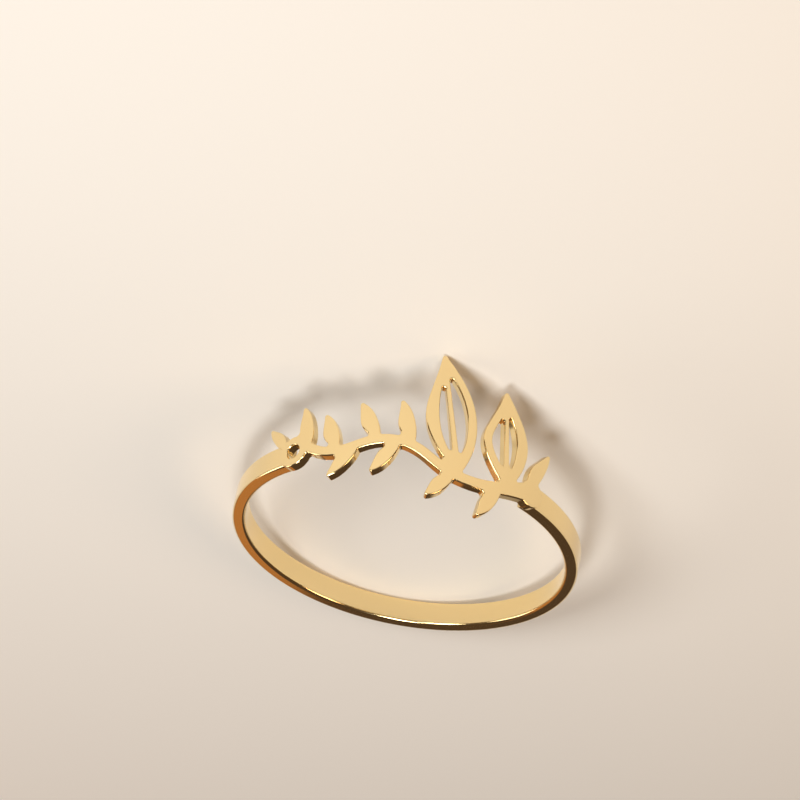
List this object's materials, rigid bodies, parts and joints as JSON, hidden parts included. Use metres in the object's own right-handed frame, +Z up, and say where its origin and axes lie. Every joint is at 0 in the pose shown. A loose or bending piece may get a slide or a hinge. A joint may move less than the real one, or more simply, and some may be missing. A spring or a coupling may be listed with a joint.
{
  "type": "personalized ring",
  "caption": "Slim one-piece finger ring whose two band ends are joined by a pierced leafy vine plate curved to the finger.",
  "frame": {"origin": "middle of the finger hole, on its axis, halfway along the band's width", "axes": "+Z up with the ring lying on a surface as it comes to rest, -Y to the vine at the front, +X across the finger"},
  "size_m": [0.0186, 0.0199, 0.0082],
  "materials": {
    "gold": "polished yellow gold"
  },
  "bodies": {
    "root": {"ring": "gold"}
  },
  "joints": []
}
